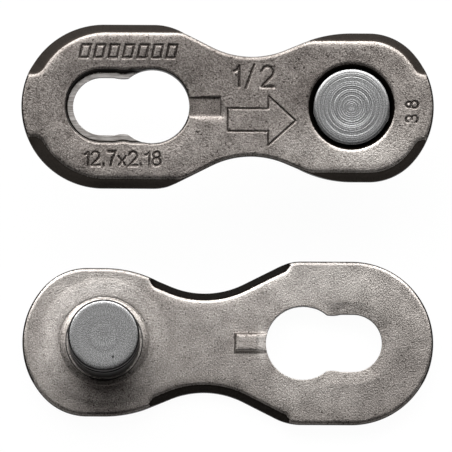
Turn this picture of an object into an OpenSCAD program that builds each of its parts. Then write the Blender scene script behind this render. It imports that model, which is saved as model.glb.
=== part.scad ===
// Quick connecting link for a half inch pitch chain, laid apart as two halves.
// Both halves are the same part: a stamped plate with a pin at one end and a
// keyhole at the other. The upper half shows its outer face, pin down. The lower
// half is turned over about the Y axis and shows its inner face, pin up.
// Millimetres. X runs along the chain, Y across the pair, Z up.

/* [Chain] */
// Distance from the pin to the narrow lobe of the keyhole
pitch = 12.7; // [12:0.05:15.9]
// Room between the two plates when the link is closed
inner_w = 3.8; // [3:0.1:6]
// Distance across between the centre lines of the two halves laid apart
spread = 11.7; // [10:0.1:20]
// How far the lower half lies to the right of the upper one
stagger = 0.15; // [0:0.01:1]

/* [Plate] */
// Thickness of the plate
plate_t = 0.9; // [0.7:0.05:1.2]
// Radius of the round end at the keyhole, and half the width there
keyhole_end_r = 4.18; // [3.8:0.01:4.6]
// How far the centre of that round end lies inside the narrow lobe
keyhole_end_in = 0.08; // [0:0.01:0.2]
// Length of the straight edge from the narrow lobe to the shoulder
keyhole_edge = 2.63; // [2:0.01:3]
// Radius of the shoulder at the keyhole
keyhole_shoulder_r = 2.75; // [2:0.05:3.5]
// Slope of the flank from the keyhole shoulder to the waist, in degrees
keyhole_flank_a = 26.7; // [22:0.1:30]
// Radius of the hollow at the waist
waist_r = 4.45; // [3.5:0.01:5.5]
// Slope of the flank from the waist to the pin shoulder, in degrees
pin_flank_a = 22.6; // [18:0.1:26]
// Radius of the shoulder at the pin
pin_shoulder_r = 6; // [4.5:0.1:7]
// Width over the two straight edges at the pin
pin_end_w = 7.59; // [7:0.01:8]
// Radius of the end at the pin
pin_end_r = 4.18; // [4:0.01:4.4]
// Radius of the corner between that end and a straight edge
pin_corner_r = 3; // [2.5:0.05:3.3]

/* [Coined chamfers] */
// Size of the chamfers of the outer face, round both ends
outer_chamfer = 0.44; // [0.2:0.01:0.5]
// How much wider the outer chamfer gets towards the tip of the keyhole end
tip_extra = 0.18; // [0.02:0.01:0.25]
// Size of the chamfers of the inner face, along the waist
inner_chamfer = 0.41; // [0.2:0.01:0.5]
// Where the outer chamfer stops at each tip, in degrees from the centre line
tip_stop_a = 31; // [20:1:40]
// How far the inner chamfer reaches round the keyhole shoulder, in degrees
inner_reach_a = 4; // [2:0.5:15]
// Share of the pin flank along which the inner chamfer runs
inner_share = 0.55; // [0.3:0.05:0.8]

/* [Keyhole] */
// Diameter of the narrow lobe, which holds the neck of the other pin
narrow_d = 2.95; // [2.6:0.01:3.2]
// Room beside the head and shaft of the other pin where they pass or seat
pass_gap = 0.055; // [0.03:0.005:0.15]
// Distance between the centres of the two lobes
lobe_step = 2.56; // [2.4:0.02:2.8]
// Width between the two detent humps
gate_w = 2.83; // [2.5:0.01:3]
// Distance from the narrow lobe's centre to the humps
gate_x = 1.07; // [0.9:0.01:1.2]
// Radius of a hump
hump_r = 1.6; // [1.2:0.05:2]
// Width of the ledge round the narrow lobe
ledge_w = 0.38; // [0.3:0.01:0.5]
// Depth of the seat that the ledge lies in, from the outer face
seat_depth = 0.45; // [0.3:0.01:0.6]

/* [Half-sheared tab] */
// Length of the tab from the wide lobe towards the waist
tab_len = 1.6; // [1:0.05:2]
// Width of the tab
tab_w = 0.98; // [0.7:0.02:1.3]
// How far the tab is pushed through
tab_push = 0.22; // [0.1:0.01:0.3]
// Length of the slope on the tab's end at the wide lobe
tab_slope = 0.5; // [0.2:0.05:0.8]

/* [Pin] */
// Diameter of the shaft and of the head
shaft_d = 3.66; // [3.3:0.01:3.8]
// Diameter of the seat that is pressed into the plate
press_d = 3.9; // [3.76:0.01:4]
// How much smaller that seat's radius is at the collar's top
press_taper = 0.02; // [0.01:0.005:0.03]
// Room round the neck in the narrow lobe
neck_gap = 0.1; // [0.07:0.01:0.2]
// Room along the pin between the ledge and the head
head_gap = 0.03; // [0.01:0.01:0.08]
// Chamfer at the tip of the pin
tip_chamfer = 0.1; // [0.05:0.01:0.2]
// Rounding that shows on the end in the outer face
end_round = 0.12; // [0.06:0.01:0.2]

/* [Collar round the pin] */
// Diameter of the raised collar at its foot
collar_d = 4.6; // [4.4:0.02:5]
// Height of the collar over the inner face
collar_h = 0.12; // [0.08:0.01:0.4]
// Width of the flat top of the collar
collar_top = 0.08; // [0.06:0.01:0.2]
// Width of the drawn-in edge round the pin in the outer face
draw_in = 0.28; // [0.15:0.01:0.4]

/* [View] */
// Which piece to draw

/* [Hidden] */

$fn = 96;
eps = 0.05;
over = 0.4;
// How deep an arc bites into the edge that it blends with, so that they cross.
bite = 0.003;
plate_color = "#a59f9a";
pin_color = "#8d9296";

// The pin and the narrow lobe lie at either end of the pitch.
pin_x = pitch / 2;
narrow_x = -pitch / 2;
wide_x = narrow_x + lobe_step;
narrow_r = narrow_d / 2;

// The other pin's head passes the wide lobe and seats inside the ledge.
wide_r = shaft_d / 2 + pass_gap;
ledge_r = narrow_r + ledge_w;
neck_d = narrow_d - 2 * neck_gap;
tip_z = -(inner_w + plate_t);
ledge_t = plate_t - seat_depth;
head_len = seat_depth - head_gap;
neck_len = 2 * (ledge_t + head_gap);

// The pressed seat tapers a little from its rounded end to the collar's top.
seat_slope = press_taper / (plate_t - end_round + collar_h);

// Plan of the outline, upper side: centres of the arcs and where they touch.
keyhole_x = narrow_x + keyhole_end_in;
sh1 = [narrow_x + keyhole_edge, keyhole_end_r - keyhole_shoulder_r];
sh2 = [pin_x, pin_end_w / 2 - pin_shoulder_r];
corner_dy = pin_end_w / 2 - pin_corner_r;
corner_dx = sqrt(pow(pin_end_r - pin_corner_r, 2) - corner_dy * corner_dy);
corner_a = atan2(corner_dy, corner_dx);
n1 = 90 - keyhole_flank_a;
n2 = 90 + pin_flank_a;
t1 = sh1 + keyhole_shoulder_r * dir(n1);
t4 = sh2 + pin_shoulder_r * dir(n2);
// The waist's centre is one waist radius away from both flanks.
c1 = t1 * dir(n1) + waist_r;
c2 = t4 * dir(n2) + waist_r;
waist_c = [
    (c1 * sin(n2) - c2 * sin(n1)) / sin(n2 - n1),
    (c2 * cos(n1) - c1 * cos(n2)) / sin(n2 - n1)
];
t2 = waist_c - waist_r * dir(n1);
t3 = waist_c - waist_r * dir(n2);

// Where the inner chamfer ends on the keyhole shoulder and on the pin flank.
inner_a1 = n1 + inner_reach_a;
inner_stop = t3 + inner_share * (t4 - t3);

// Unit vector at an angle in degrees.
function dir(a) = [cos(a), sin(a)];

// Radius of the pressed seat at a height over the inner face.
function seat_r(z) = press_d / 2 - seat_slope * (plate_t - end_round - z);

// Angle at which an arc and its tangent part by the bite.
function part_a(r) = acos(1 - bite / r);

module at(p) {
    translate([p[0], p[1]]) children();
}

// Slice of a disc from its centre, between two angles less than 180 apart.
module pie(r, a1, a2) {
    reach = r / cos((a2 - a1) / 4) + 1;
    intersection() {
        circle(r);
        polygon([
            [0, 0],
            reach * dir(a1),
            reach * dir((a1 + a2) / 2),
            reach * dir(a2)
        ]);
    }
}

// Straight edges of the upper side, from the keyhole end to the pin end.
core = [
    [keyhole_x, keyhole_end_r],
    [sh1[0], keyhole_end_r],
    t1,
    t2,
    t3,
    t4,
    [pin_x, pin_end_w / 2],
    [pin_x + corner_dx, pin_end_w / 2]
];

module disc(p, r) {
    translate([p[0], p[1], 0]) cylinder(h = plate_t, r = r);
}

// The plate before coining: straight edges, with arcs that blend into them.
module blank() {
    difference() {
        union() {
            linear_extrude(plate_t)
                polygon(concat(core, [for (i = [len(core) - 1:-1:0]) [core[i][0], -core[i][1]]]));
            disc([keyhole_x, 0], keyhole_end_r + bite);
            for (s = [-1, 1]) {
                disc([sh1[0], s * sh1[1]], keyhole_shoulder_r + bite);
                intersection() {
                    disc([sh2[0], s * sh2[1]], pin_shoulder_r + bite);
                    translate([0, s > 0 ? 0 : -pin_end_r, 0])
                        cube([pin_x + 0.5, pin_end_r, plate_t]);
                }
                disc([pin_x + corner_dx, s * corner_dy], pin_corner_r + bite);
            }
            linear_extrude(plate_t) at([pin_x, 0]) pie(pin_end_r, -corner_a, corner_a);
        }
        for (s = [-1, 1]) disc([waist_c[0], s * waist_c[1]], waist_r + bite);
    }
}

// Plan of the keyhole, or of a wider opening that follows it at a distance.
module keyhole_plan(grow) {
    narrow = narrow_r + grow;
    hump = hump_r - grow;
    difference() {
        union() {
            at([narrow_x, 0]) circle(narrow + bite);
            translate([narrow_x, -narrow]) square([lobe_step, 2 * narrow]);
        }
        for (s = [-1, 1]) {
            translate([narrow_x + gate_x, s * (gate_w / 2 + hump_r)]) circle(hump);
        }
    }
    at([wide_x, 0]) circle(wide_r);
}

// Section of a chamfer cutter: x is the distance outwards from the edge.
module chamfer_section(c) {
    polygon([[-c - eps, eps], [over, -c - over], [over, eps]]);
}

// Chamfer cutter on an arc that bulges out, for a face at z = 0.
module arc_cut(p, r, a1, a2, c) {
    translate([p[0], p[1], 0]) rotate([0, 0, a1])
        rotate_extrude(angle = a2 - a1) translate([r + bite, 0]) chamfer_section(c);
}

// Chamfer cutter on an arc that bends in.
module hollow_cut(p, r, a1, a2, c) {
    translate([p[0], p[1], 0]) rotate([0, 0, a1])
        rotate_extrude(angle = a2 - a1) translate([r + bite, 0]) mirror([1, 0])
            chamfer_section(c);
}

// Chamfer cutter on a straight edge from p to q, with the plate to its right.
module line_cut(p, q, c) {
    d = q - p;
    translate([p[0], p[1], 0]) rotate([0, 0, atan2(d[1], d[0])])
        rotate([90, 0, 90]) linear_extrude(norm(d)) chamfer_section(c);
}

// Cone in which a chamfer runs out: p lies on the edge and a points outwards.
module run_out(p, a, c) {
    off = 0.1;
    r = c + off + bite;
    translate([p[0] + off * cos(a), p[1] + off * sin(a), -r])
        cylinder(h = r + eps, r1 = 0, r2 = r + eps);
}

// The two chamfers of the outer face on one side, for a face at z = 0.
module outer_side() {
    c = outer_chamfer;
    lap = 0.35;
    // Round the keyhole end, off centre so that it widens towards the tip.
    tip = [keyhole_x + tip_extra, 0];
    tip_a = 180 - tip_stop_a;
    tip_r = tip_extra * cos(tip_stop_a) + sqrt(pow(keyhole_end_r, 2) - pow(tip_extra * sin(tip_stop_a), 2));
    arc_cut(tip, keyhole_end_r, 90 - 0.7 * part_a(keyhole_end_r), tip_a, c);
    run_out(tip + tip_r * dir(tip_a), tip_a, c + tip_r - keyhole_end_r);
    // Along the straight edge, running off the falling shoulder.
    line_cut([tip[0] - lap, keyhole_end_r], [sh1[0] + 1.9, keyhole_end_r], c);
    // The same at the pin end, round its corner as far as its tip.
    line_cut([pin_x - 2.7, pin_end_w / 2], [pin_x + corner_dx + lap, pin_end_w / 2], c);
    arc_cut([pin_x + corner_dx, corner_dy], pin_corner_r, corner_a - 2,
            90 + 0.7 * part_a(pin_corner_r), c);
    arc_cut([pin_x, 0], pin_end_r - bite, tip_stop_a, corner_a + 7, c);
    run_out([pin_x, 0] + pin_end_r * dir(tip_stop_a), tip_stop_a, c);
}

// The chamfer of the inner face along the waist on one side.
module inner_side() {
    c = inner_chamfer;
    lap = 0.25;
    u1 = dir(-keyhole_flank_a);
    arc_cut(sh1, keyhole_shoulder_r, n1 - 0.7 * part_a(keyhole_shoulder_r), inner_a1, c);
    run_out(sh1 + keyhole_shoulder_r * dir(inner_a1), inner_a1, c);
    line_cut(t1 - lap * u1, t2 + 0.05 * u1, c);
    hollow_cut(waist_c, waist_r, n1 + 180 - 4, n2 + 180 + 4, c);
    line_cut(t3, inner_stop, c);
    run_out(inner_stop, n2, c);
}

// The tab in the plane of its side, pushed through from the outer face.
module tab_section() {
    x1 = wide_x + wide_r + tab_len;
    polygon([
        [wide_x, 0],
        [wide_x, eps],
        [x1, eps],
        [x1, -tab_push],
        [wide_x + wide_r + tab_slope, -tab_push],
        [wide_x + wide_r, -tab_push / 4],
        [wide_x, -tab_push / 4]
    ]);
}

// One plate, outer face up: inner face at z = 0, outer face at z = plate_t.
module plate() {
    difference() {
        union() {
            difference() {
                blank();
                translate([0, 0, plate_t]) {
                    outer_side();
                    mirror([0, 1, 0]) outer_side();
                }
                mirror([0, 0, 1]) {
                    inner_side();
                    mirror([0, 1, 0]) inner_side();
                }
            }
            translate([0, tab_w / 2, 0]) rotate([90, 0, 0])
                linear_extrude(tab_w) tab_section();
            translate([pin_x, 0, -collar_h])
                cylinder(h = collar_h + eps, d1 = 2 * (seat_r(-collar_h) + collar_top),
                         d2 = collar_d + 2 * eps);
        }
        // Keyhole, with the seat round its narrow lobe sunk from the outer face.
        translate([0, 0, -plate_t]) linear_extrude(3 * plate_t) keyhole_plan(0);
        translate([0, 0, ledge_t]) linear_extrude(plate_t) keyhole_plan(ledge_w);
        // Channel that the tab leaves in the outer face.
        translate([wide_x, -tab_w / 2, plate_t - tab_push])
            cube([wide_r + tab_len, tab_w, plate_t]);
        // Hole for the pin, with its drawn-in edge.
        translate([pin_x, 0, 0]) {
            translate([0, 0, -collar_h - eps])
                cylinder(h = plate_t + collar_h + 2 * eps, r1 = seat_r(-collar_h - eps),
                         r2 = seat_r(plate_t + eps));
            translate([0, 0, plate_t - draw_in])
                cylinder(h = draw_in + eps, r1 = seat_r(plate_t - draw_in),
                         r2 = seat_r(plate_t - draw_in) + draw_in + eps);
        }
    }
}

// One pin in the frame of its plate, turned about its own axis.
module pin() {
    r = shaft_d / 2;
    neck_z = tip_z + head_len;
    translate([pin_x, 0, 0]) rotate_extrude() polygon([
        [0, plate_t],
        [press_d / 2 - end_round, plate_t],
        [press_d / 2, plate_t - end_round],
        [seat_r(-collar_h), -collar_h],
        [r, -collar_h],
        [r, neck_z + neck_len],
        [neck_d / 2, neck_z + neck_len],
        [neck_d / 2, neck_z],
        [r, neck_z],
        [r, tip_z + tip_chamfer],
        [r - tip_chamfer, tip_z],
        [0, tip_z]
    ]);
}

// The upper half stands on its pin, outer face up.
module as_upper() {
    translate([-stagger / 2, spread / 2, -tip_z]) children();
}

// The lower half lies on its outer face, pin up.
module as_lower() {
    translate([stagger / 2, -spread / 2, plate_t]) rotate([0, 180, 0]) children();
}

module upper_plate() {
    color(plate_color) as_upper() plate();
}

module upper_pin() {
    color(pin_color) as_upper() pin();
}

module lower_plate() {
    color(plate_color) as_lower() plate();
}

module lower_pin() {
    color(pin_color) as_lower() pin();
}

upper_plate();
upper_pin();
lower_plate();
lower_pin();
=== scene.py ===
"""Look of a quick connecting link for a half inch pitch chain, laid apart as two halves.

Each half is one stamped and nickel plated steel plate with one turned steel pin. All shapes
are worked out in millimetres in the plate's own frame: inner face at z = 0, outer face at
z = 0.9, keyhole towards -X and pin at +X, pointing down. They are then placed as the upper
half (outer face up) and as the lower half (turned over about the Y axis).
"""

import bpy
import numpy as np
from mathutils import Euler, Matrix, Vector
from mathutils.geometry import delaunay_2d_cdt


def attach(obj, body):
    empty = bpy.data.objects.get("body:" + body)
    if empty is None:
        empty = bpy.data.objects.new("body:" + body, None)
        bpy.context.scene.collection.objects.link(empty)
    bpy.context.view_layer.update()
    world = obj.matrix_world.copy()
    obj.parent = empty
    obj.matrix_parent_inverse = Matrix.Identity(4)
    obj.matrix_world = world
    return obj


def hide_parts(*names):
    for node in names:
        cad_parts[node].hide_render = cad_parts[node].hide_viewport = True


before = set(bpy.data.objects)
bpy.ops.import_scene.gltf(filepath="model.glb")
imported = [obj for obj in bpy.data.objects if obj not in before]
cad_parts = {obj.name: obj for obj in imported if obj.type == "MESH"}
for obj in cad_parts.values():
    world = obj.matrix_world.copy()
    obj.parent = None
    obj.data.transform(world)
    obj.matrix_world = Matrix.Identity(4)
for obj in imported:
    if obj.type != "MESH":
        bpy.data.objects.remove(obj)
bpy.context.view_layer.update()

MM = 0.001

# Sizes of the link in mm and degrees, as in the part's source.
PITCH = 12.7
SPREAD = 11.7
STAGGER = 0.15
THICK = 0.9
LOBE_STEP = 2.56
NARROW_R = 1.475
WIDE_R = 1.885
LEDGE_W = 0.38
SEAT_DEPTH = 0.45
GATE_X = 1.07
GATE_W = 2.83
HUMP_R = 1.6
END_R = 4.18
END_IN = 0.08
END_EDGE = 2.63
SHOULDER_R = 2.75
KEYHOLE_FLANK = 26.7
WAIST_R = 4.45
PIN_FLANK = 22.6
PIN_SHOULDER_R = 6.0
PIN_FLAT_Y = 3.795
PIN_END_R = 4.18
CORNER_R = 3.0
OUTER_CHAMFER = 0.44
INNER_CHAMFER = 0.41
TIP_EXTRA = 0.18
TIP_STOP = 31.0
INNER_REACH = 4.0
INNER_SHARE = 0.55
RUN_OUT = 0.1
TAB_LEN = 1.6
TAB_W = 0.98
TAB_PUSH = 0.22
TAB_SLOPE = 0.5
SHAFT_R = 1.83
NECK_R = 1.375
PRESS_R = 1.95
PRESS_TAPER = 0.02
COLLAR_H = 0.12
TIP_Z = -4.7
NECK_Z = -4.28
NECK_TOP_Z = -3.32

# Places in the plan that follow from them, and the angles of the flanks' normals.
PIN_X = PITCH / 2
NARROW_X = -PITCH / 2
WIDE_X = NARROW_X + LOBE_STEP
HUMP_X = NARROW_X + GATE_X
HUMP_Y = GATE_W / 2 + HUMP_R
END_X = NARROW_X + END_IN
SHOULDER = np.array([NARROW_X + END_EDGE, END_R - SHOULDER_R])
PIN_SHOULDER = np.array([PIN_X, PIN_FLAT_Y - PIN_SHOULDER_R])
CORNER_DY = PIN_FLAT_Y - CORNER_R
CORNER_DX = float(np.sqrt((PIN_END_R - CORNER_R) ** 2 - CORNER_DY ** 2))
CORNER = np.array([PIN_X + CORNER_DX, CORNER_DY])
CORNER_A = float(np.degrees(np.arctan2(CORNER_DY, CORNER_DX)))
FLANK_1 = 90 - KEYHOLE_FLANK
FLANK_2 = 90 + PIN_FLANK
TAB_END_X = WIDE_X + WIDE_R + TAB_LEN


def heading(degrees):
    """Unit vector of the plan at an angle from +X."""
    return np.array([np.cos(np.radians(degrees)), np.sin(np.radians(degrees))])


# Where the flanks touch the arcs, and the centre of the waist's hollow.
T1 = SHOULDER + SHOULDER_R * heading(FLANK_1)
T4 = PIN_SHOULDER + PIN_SHOULDER_R * heading(FLANK_2)
WAIST_C = np.linalg.solve(np.array([heading(FLANK_1), heading(FLANK_2)]),
                          np.array([T1 @ heading(FLANK_1), T4 @ heading(FLANK_2)]) + WAIST_R)
T2 = WAIST_C - WAIST_R * heading(FLANK_1)
T3 = WAIST_C - WAIST_R * heading(FLANK_2)


# The outline's upper side from the keyhole tip to the pin tip, in pieces: an arc (centre, radius,
# from, to, and -1 where it is hollow) or else a straight edge (from, to).
OUTLINE_PIECES = [
    (([END_X, 0.0], END_R, 180, 90, 1.0), None),
    (None, ([END_X, END_R], [SHOULDER[0], END_R])),
    ((SHOULDER, SHOULDER_R, 90, FLANK_1, 1.0), None),
    (None, (T1, T2)),
    ((WAIST_C, WAIST_R, FLANK_1 + 180, FLANK_2 + 180, -1.0), None),
    (None, (T3, T4)),
    ((PIN_SHOULDER, PIN_SHOULDER_R, FLANK_2, 90, 1.0), None),
    (None, ([PIN_X, PIN_FLAT_Y], [CORNER[0], PIN_FLAT_Y])),
    ((CORNER, CORNER_R, 90, CORNER_A, 1.0), None),
    (([PIN_X, 0.0], PIN_END_R, CORNER_A, 0, 1.0), None),
]


def arc_rows(centre, radius, start, stop, step, side=1.0):
    """Points of an arc, centre + radius * (cos a, sin a), with normals away from its centre, or
    towards it if side is -1."""
    count = max(2, int(np.ceil(abs(np.radians(stop - start)) * radius / step)))
    a = np.radians(np.linspace(start, stop, count, endpoint=False))
    n = np.stack([np.cos(a), np.sin(a)], 1)
    return np.asarray(centre) + radius * n, side * n


def line_rows(p, q, step, side=1.0):
    """Points from p to q at even steps, with the normal to the left of that way, or to the right
    if side is -1."""
    d = np.asarray(q, float) - p
    count = max(1, int(np.ceil(np.hypot(*d) / step)))
    t = np.linspace(0, 1, count, endpoint=False)[:, None]
    n = np.array([-d[1], d[0]]) / np.hypot(*d)
    return p + t * d, side * np.repeat(n[None], count, 0)


def both_sides(rows, last, last_normal):
    """A loop from its upper side: the pieces, their last point, and the mirror image back."""
    points = np.concatenate([r[0] for r in rows] + [np.array([last])])
    normals = np.concatenate([r[1] for r in rows] + [np.array([last_normal])])
    flip = np.array([1.0, -1.0])
    return (np.concatenate([points, points[-2:0:-1] * flip]),
            np.concatenate([normals, normals[-2:0:-1] * flip]))


def outline_loop(step):
    """The plate's outline, clockwise from its keyhole tip, with outward normals."""
    rows = [arc_rows(*arc[:4], step, arc[4]) if arc else line_rows(*line, step)
            for arc, line in OUTLINE_PIECES]
    return both_sides(rows, [PIN_X + PIN_END_R, 0.0], [1.0, 0.0])


def meet_angle(c1, r1, c2, r2):
    """Angle on the first circle of the point where two circles cross, to the right of the way
    from the first centre to the second."""
    d = c2 - c1
    gap = np.hypot(*d)
    a = np.arccos((gap * gap + r1 * r1 - r2 * r2) / (2 * gap * r1))
    return float(np.degrees(np.arctan2(d[1], d[0]) - a))


def keyhole_loop(grow, step):
    """The keyhole, or the seat that follows it at a distance, clockwise, normals into the hole."""
    r = NARROW_R + grow
    hump = HUMP_R - grow
    hump_c = np.array([HUMP_X, HUMP_Y])
    wide_c = np.array([WIDE_X, 0.0])
    reach = np.sqrt(hump ** 2 - (HUMP_Y - r) ** 2)
    start = float(np.degrees(np.arctan2(r - HUMP_Y, -reach))) % 360
    if grow > 0:
        stop = float(np.degrees(np.arctan2(r - HUMP_Y, reach))) % 360
        wide_a = float(np.degrees(np.arccos(-np.sqrt(WIDE_R ** 2 - r ** 2) / WIDE_R)))
    else:
        stop = meet_angle(hump_c, hump, wide_c, WIDE_R) % 360
        tip = hump_c + hump * heading(stop)
        wide_a = float(np.degrees(np.arctan2(tip[1], tip[0] - WIDE_X)))
    rows = [
        arc_rows([NARROW_X, 0], r, 180, 90, step, -1.0),
        line_rows([NARROW_X, r], hump_c + hump * heading(start), step, -1.0),
        arc_rows(hump_c, hump, start, stop, step),
    ]
    if grow > 0:
        rows.append(line_rows(hump_c + hump * heading(stop), wide_c + WIDE_R * heading(wide_a),
                              step, -1.0))
    rows.append(arc_rows(wide_c, WIDE_R, wide_a, 0, step, -1.0))
    return both_sides(rows, [WIDE_X + WIDE_R, 0.0], [-1.0, 0.0])


# Distances in plan, all in mm and on whole arrays.
def edge_distance(x, y):
    """How far a plan point lies inside the outline: the least distance to its pieces, with the
    sign of the side of the nearest one on which it lies."""
    y = np.abs(y)
    best = np.full(np.shape(x), 1e9)
    inside = np.ones(np.shape(x))
    for arc, line in OUTLINE_PIECES:
        if arc:
            centre, radius, start, stop, side = arc
            dx, dy = x - centre[0], y - centre[1]
            a = np.degrees(np.arctan2(dy, dx)) % 360
            a = np.radians(np.clip(a, min(start, stop), max(start, stop)))
            gap = np.hypot(dx - radius * np.cos(a), dy - radius * np.sin(a))
            within = side * (radius - np.hypot(dx, dy))
        else:
            dx, dy = x - line[0][0], y - line[0][1]
            way = np.asarray(line[1], float) - line[0]
            span = np.hypot(*way)
            way = way / span
            along = np.clip(dx * way[0] + dy * way[1], 0, span)
            gap = np.hypot(dx - along * way[0], dy - along * way[1])
            within = dx * way[1] - dy * way[0]
        nearer = gap < best
        best = np.where(nearer, gap, best)
        inside = np.where(nearer, within, inside)
    return np.where(inside >= 0, best, -best)


def box_distance(x, y, x0, x1, half):
    """Distance to an upright box about the centre line, negative inside it."""
    dx = np.maximum(x0 - x, x - x1)
    dy = np.abs(y) - half
    return np.hypot(np.maximum(dx, 0), np.maximum(dy, 0)) + np.minimum(np.maximum(dx, dy), 0)


def keyhole_distance(x, y, grow=0.0):
    """Distance to the keyhole's plan, or to the seat's, negative inside the opening."""
    r = NARROW_R + grow
    slot = np.minimum(np.hypot(x - NARROW_X, y) - r, box_distance(x, y, NARROW_X, WIDE_X, r))
    hump = np.hypot(x - HUMP_X, np.abs(y) - HUMP_Y) - (HUMP_R - grow)
    return np.minimum(np.maximum(slot, -hump), np.hypot(x - WIDE_X, y) - WIDE_R)


def seat_distance(x, y):
    """Distance to the plan of the seat."""
    return keyhole_distance(x, y, LEDGE_W)


def tab_distance(x, y):
    """Distance to the plan of the tab, which is also that of its channel."""
    return box_distance(x, y, WIDE_X, TAB_END_X, TAB_W / 2)


def pin_distance(x, y):
    """Distance from the pin's axis."""
    return np.hypot(x - PIN_X, y)


def press_distance(x, y):
    """Distance to the pin's hole."""
    return pin_distance(x, y) - PRESS_R


def soft_max(a, b, k):
    """The larger of two heights, with their crossing rounded over a width k."""
    h = np.clip(0.5 + 0.5 * (a - b) / k, 0, 1)
    return b + (a - b) * h + k * h * (1 - h)


def rounding(d, wide, deep=None):
    """Drop of a quarter ellipse at a distance d from its edge, as deep as wide if not given."""
    t = 1 - np.clip(d, 0, wide) / wide
    return (wide if deep is None else deep) * (1 - np.sqrt(np.maximum(1 - t * t, 0)))


def profile(table):
    """Height as straight steps between the pairs (distance, height) of a small table."""
    d, h = np.array(table).T
    return lambda s: np.interp(s, d, h)


# Coined chamfers at 45 degrees.
def outer_chamfer(x, y):
    """Depth of the outer face's chamfers: radius or height less that of the chamfer's inner
    edge, piece by piece round each end, and a cone where each one stops at a tip."""
    y = np.abs(y)
    c = OUTER_CHAMFER
    off = RUN_OUT
    tip_x = END_X + TIP_EXTRA
    stop = 180 - TIP_STOP
    tip_r = TIP_EXTRA * np.cos(np.radians(TIP_STOP)) + np.sqrt(
        END_R ** 2 - (TIP_EXTRA * np.sin(np.radians(TIP_STOP))) ** 2)
    cone = np.array([tip_x, 0]) + (tip_r + off) * heading(stop)
    a = np.degrees(np.arctan2(y, x - tip_x))
    left = np.where(a > stop, c + tip_r - END_R + off - np.hypot(x - cone[0], y - cone[1]),
                    np.where(a > 90, np.hypot(x - tip_x, y) - (END_R - c), y - (END_R - c)))
    cone = np.array([PIN_X, 0]) + (PIN_END_R + off) * heading(TIP_STOP)
    a = np.degrees(np.arctan2(y, x - PIN_X))
    right = np.where(
        a < TIP_STOP, c + off - np.hypot(x - cone[0], y - cone[1]),
        np.where(a < CORNER_A, np.hypot(x - PIN_X, y) - (PIN_END_R - c),
                 np.where(x > CORNER[0], np.hypot(x - CORNER[0], y - CORNER[1]) - (CORNER_R - c),
                          y - (PIN_FLAT_Y - c))))
    return np.where(x < 0, left, right)


INNER_A1 = FLANK_1 + INNER_REACH
INNER_STOP = T3 + INNER_SHARE * (T4 - T3)


def inner_chamfer(x, y):
    """Depth of the inner face's chamfer along the waist: its size less the distance from the
    outline, between two cones that stop it on the shoulder and on the pin's flank."""
    y = np.abs(y)
    c = INNER_CHAMFER
    off = RUN_OUT
    first = SHOULDER + (SHOULDER_R + off) * heading(INNER_A1)
    last = INNER_STOP + off * heading(FLANK_2)
    way = (T4 - T3) / np.hypot(*(T4 - T3))
    before = (np.degrees(np.arctan2(y - SHOULDER[1], x - SHOULDER[0])) > INNER_A1) | (x < SHOULDER[0])
    after = (x - INNER_STOP[0]) * way[0] + (y - INNER_STOP[1]) * way[1] > 0
    cones = np.maximum(c + off - np.hypot(x - first[0], y - first[1]),
                       c + off - np.hypot(x - last[0], y - last[1]))
    return np.where(before | after, cones, c - edge_distance(x, y))


# Stamped marks of the outer face, as strokes of two or more points in mm.
def bow(cx, cy, rx, ry, start, stop, count=14):
    """Stroke along part of an ellipse."""
    a = np.radians(np.linspace(start, stop, count))
    return np.stack([cx + rx * np.cos(a), cy + ry * np.sin(a)], 1)


# Width and strokes of each figure, for a height of 1.
FIGURES = {
    "1": (0.42, [[(0.05, 0.76), (0.22, 0.84), (0.32, 1.0), (0.32, 0.0)]]),
    "2": (0.72, [np.concatenate([bow(0.31, 0.70, 0.28, 0.29, 165, -38),
                                 [(0.03, 0.0), (0.62, 0.0)]])]),
    "3": (0.70, [np.concatenate([bow(0.29, 0.76, 0.25, 0.24, 160, -80),
                                 bow(0.29, 0.28, 0.29, 0.28, 82, -160)])]),
    "7": (0.70, [[(0.02, 1.0), (0.60, 1.0), (0.36, 0.48), (0.24, 0.0)]]),
    "8": (0.72, [bow(0.31, 0.76, 0.24, 0.23, 0, 360, 22), bow(0.31, 0.27, 0.30, 0.27, 0, 360, 24)]),
    ".": (0.26, [[(0.08, 0.0), (0.08, 0.08)]]),
    "x": (0.66, [[(0.04, 0.0), (0.52, 0.62)], [(0.04, 0.62), (0.52, 0.0)]]),
    "/": (0.52, [[(0.0, -0.06), (0.40, 1.06)]]),
}


def figures(text, x, y, height, gap, turned=False):
    """A row of plain figures of a height, from its lower left corner, a gap apart (as a share of
    the height), turned a quarter if wanted."""
    placed = []
    at = 0.0
    for sign in text:
        width, strokes = FIGURES[sign]
        corner = [x, y + at * height] if turned else [x + at * height, y]
        for stroke in strokes:
            p = np.array(stroke, float) * height
            placed.append((np.stack([-p[:, 1], p[:, 0]], 1) if turned else p) + corner)
        at += width + gap - 0.10
    return placed


ARROW = np.array([(0.05, -0.12), (0.05, -1.28), (2.11, -1.28), (2.11, -2.0), (3.5, -0.73),
                  (2.11, 0.54), (2.11, -0.12), (0.05, -0.12)])


def bars(x0, x1, y0, y1, count, lean):
    """A row of plain outlined bars, each a closed leaning frame."""
    pitch = (x1 - x0) / count
    width = pitch * 0.58
    corners = np.array([(0, y0), (width, y0), (width + lean, y1), (lean, y1), (0, y0)])
    return [corners + [x0 + i * pitch, 0] for i in range(count)]


# Each mark is a group of strokes with the half width of its groove.
MARKS = ([(ARROW, 0.052)] + [(m, 0.068) for m in figures("1/2", 0.30, 1.0, 1.04, gap=0.32)]
         + [(m, 0.06) for m in figures("12.7x2.18", -7.25, -3.05, 0.70, gap=0.20)
            + bars(-7.5, -2.35, 2.46, 3.10, 7, 0.14)]
         + [(m, 0.05) for m in figures("38", 9.72, -0.80, 0.60, gap=0.62, turned=True)])
GROOVE_DEPTH = 0.055
groove = profile([(0, 1.0), (0.3, 0.92), (0.65, 0.5), (0.95, 0.1), (1.15, 0.0), (9, 0)])


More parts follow.
